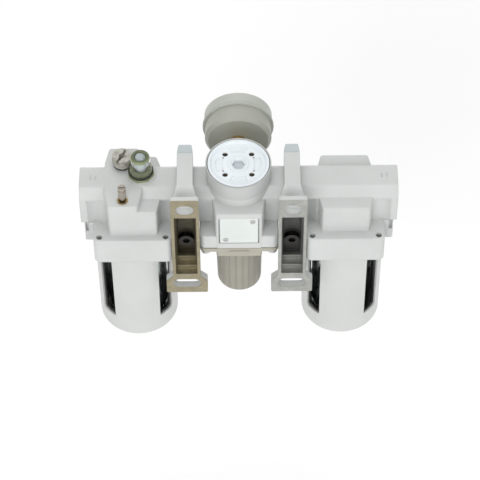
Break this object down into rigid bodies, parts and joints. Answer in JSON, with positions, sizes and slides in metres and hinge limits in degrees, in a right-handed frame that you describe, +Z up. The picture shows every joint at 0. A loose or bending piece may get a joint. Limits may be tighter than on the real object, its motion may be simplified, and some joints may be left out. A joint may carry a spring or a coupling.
{
  "type": "filter regulator lubricator",
  "caption": "Compressed-air filter, pressure regulator with gauge and oil lubricator joined in a row, held by two slotted wall brackets.",
  "frame": {"origin": "on the wall plane, midway between the two upper bracket slots, in the regulator's middle plane", "axes": "+X along the air line from inlet to outlet, +Y into the wall, +Z up; the gauge faces -Y"},
  "size_m": [0.171, 0.083, 0.1424],
  "materials": {
    "cast_pale": "satin painted die casting, pale warm grey",
    "bracket_metal": "satin metallic paint",
    "clamp_grey": "satin painted, bluish grey",
    "white_plastic": "moulded, semi gloss",
    "taupe_plastic": "moulded, fine matt",
    "gauge_grey": "moulded, satin",
    "guard_white": "satin painted steel guard",
    "clear_plastic": "clear polycarbonate",
    "dial_white": "printed dial",
    "pointer_black": "black",
    "brass": "machined brass",
    "steel": "plated steel",
    "plate_silver": "blank anodised plate",
    "rubber_black": "nitrile rubber",
    "olive_plastic": "moulded olive ring",
    "beige_plastic": "moulded",
    "element_white": "sintered, porous",
    "dark_plastic": "moulded black"
  },
  "bodies": {
    "root": {"filter_body": "cast_pale", "regulator_body": "cast_pale", "lubricator_body": "cast_pale", "bracket_filter_side": "bracket_metal", "bracket_lubricator_side": "bracket_metal", "clamp_front_filter_side": "clamp_grey", "clamp_front_lubricator_side": "clamp_grey", "clamp_screws": "steel", "joint_seals": "rubber_black", "valve_guide_cap": "white_plastic", "valve_cap_seal": "rubber_black", "nameplate": "plate_silver", "nameplate_pins": "steel", "bonnet": "taupe_plastic", "bonnet_screws": "steel", "diaphragm": "rubber_black", "setting_spring": "steel", "valve_spring": "steel", "gauge_case": "gauge_grey", "gauge_stem": "brass", "gauge_tube": "brass", "gauge_dial": "dial_white", "gauge_cover": "clear_plastic", "gauge_rim": "gauge_grey", "filter_element": "element_white", "filter_deflector": "dark_plastic", "filter_baffle": "dark_plastic", "siphon_tube": "clear_plastic", "oil_strainer": "brass", "damper_vane": "rubber_black", "damper_retainer": "dark_plastic", "sight_dome": "clear_plastic", "dome_nut": "olive_plastic", "dome_seal": "rubber_black", "needle_bush": "brass"},
    "screw": {"adjusting_screw": "steel"},
    "knob": {"knob": "taupe_plastic"},
    "nut": {"spring_nut": "brass"},
    "valve": {"valve_stem": "brass", "diaphragm_plates": "steel"},
    "gauge_pointer": {"gauge_pointer": "pointer_black"},
    "gauge_limit_ring": {"gauge_limit_ring": "gauge_grey"},
    "filter_bowl": {"filter_bowl": "clear_plastic", "filter_bowl_guard": "guard_white", "filter_bowl_seal": "rubber_black", "filter_lock_spring": "steel"},
    "filter_lock": {"filter_lock_button": "dark_plastic"},
    "drain": {"drain_cock": "dark_plastic"},
    "lubricator_bowl": {"lubricator_bowl": "clear_plastic", "lubricator_bowl_guard": "guard_white", "lubricator_bowl_seal": "rubber_black", "lubricator_lock_spring": "steel"},
    "lubricator_lock": {"lubricator_lock_button": "dark_plastic"},
    "needle": {"needle_screw": "steel"},
    "fill_plug_seal": {"fill_plug_seal": "rubber_black"},
    "fill_plug": {"fill_plug": "beige_plastic"},
    "check_ball": {"check_ball": "steel"}
  },
  "joints": [
    {"name": "knob_turn", "type": "hinge", "parent": "root", "child": "screw", "pos_m": [0, -0.026, -0.0774], "axis": [0, 0, 1], "range_deg": [-720, 1800]},
    {"name": "knob_unlock", "type": "slide", "parent": "screw", "child": "knob", "axis": [0, 0, 1], "range_m": [-0.0025, 0]},
    {"name": "nut_rise", "type": "slide", "parent": "root", "child": "nut", "axis": [0, 0, 1], "range_m": [-0.003, 0.0075], "deforming": ["setting_spring"]},
    {"name": "valve_lift", "type": "slide", "parent": "root", "child": "valve", "axis": [0, 0, 1], "range_m": [0, 0.0015], "deforming": ["valve_spring"]},
    {"name": "pointer_turn", "type": "hinge", "parent": "root", "child": "gauge_pointer", "pos_m": [0, -0.076, -0.0174], "axis": [0, 1, 0], "range_deg": [0, 260]},
    {"name": "limit_ring_turn", "type": "hinge", "parent": "root", "child": "gauge_limit_ring", "pos_m": [0, -0.078, -0.0174], "axis": [0, 1, 0], "range_deg": [-130, 130]},
    {"name": "filter_bowl_turn", "type": "hinge", "parent": "root", "child": "filter_bowl", "pos_m": [-0.0575, -0.026, -0.0504], "axis": [0, 0, 1], "range_deg": [0, 45]},
    {"name": "filter_lock_press", "type": "slide", "parent": "filter_bowl", "child": "filter_lock", "axis": [0, 0, 1], "range_m": [-0.0026, 0], "deforming": ["filter_lock_spring"]},
    {"name": "lubricator_bowl_turn", "type": "hinge", "parent": "root", "child": "lubricator_bowl", "pos_m": [0.0575, -0.026, -0.0504], "axis": [0, 0, 1], "range_deg": [0, 45]},
    {"name": "lubricator_lock_press", "type": "slide", "parent": "lubricator_bowl", "child": "lubricator_lock", "axis": [0, 0, 1], "range_m": [-0.0026, 0], "deforming": ["lubricator_lock_spring"]},
    {"name": "drain_turn", "type": "hinge", "parent": "filter_bowl", "child": "drain", "pos_m": [-0.0575, -0.026, -0.1224], "axis": [0, 0, 1], "range_deg": [0, 90]},
    {"name": "needle_turn", "type": "hinge", "parent": "root", "child": "needle", "pos_m": [0.0619, -0.0099, -0.0034], "axis": [0, 0, 1], "range_deg": [0, 540]},
    {"name": "fill_plug_rise", "type": "slide", "parent": "root", "child": "fill_plug_seal", "axis": [0, 0, 1], "range_m": [0, 0.0045]},
    {"name": "fill_plug_turn", "type": "hinge", "parent": "fill_plug_seal", "child": "fill_plug", "pos_m": [0.0625, -0.0352, -0.0024], "axis": [0, 0, 1], "range_deg": [0, 1440]},
    {"name": "check_ball_lift", "type": "slide", "parent": "root", "child": "check_ball", "axis": [0, 0, 1], "range_m": [0, 0.0008]}
  ],
  "couplings": [
    {"joint": "nut_rise", "follows": "knob_turn", "m_per_rad": 0.00023873},
    {"joint": "fill_plug_rise", "follows": "fill_plug_turn", "m_per_rad": 0.00015915}
  ]
}
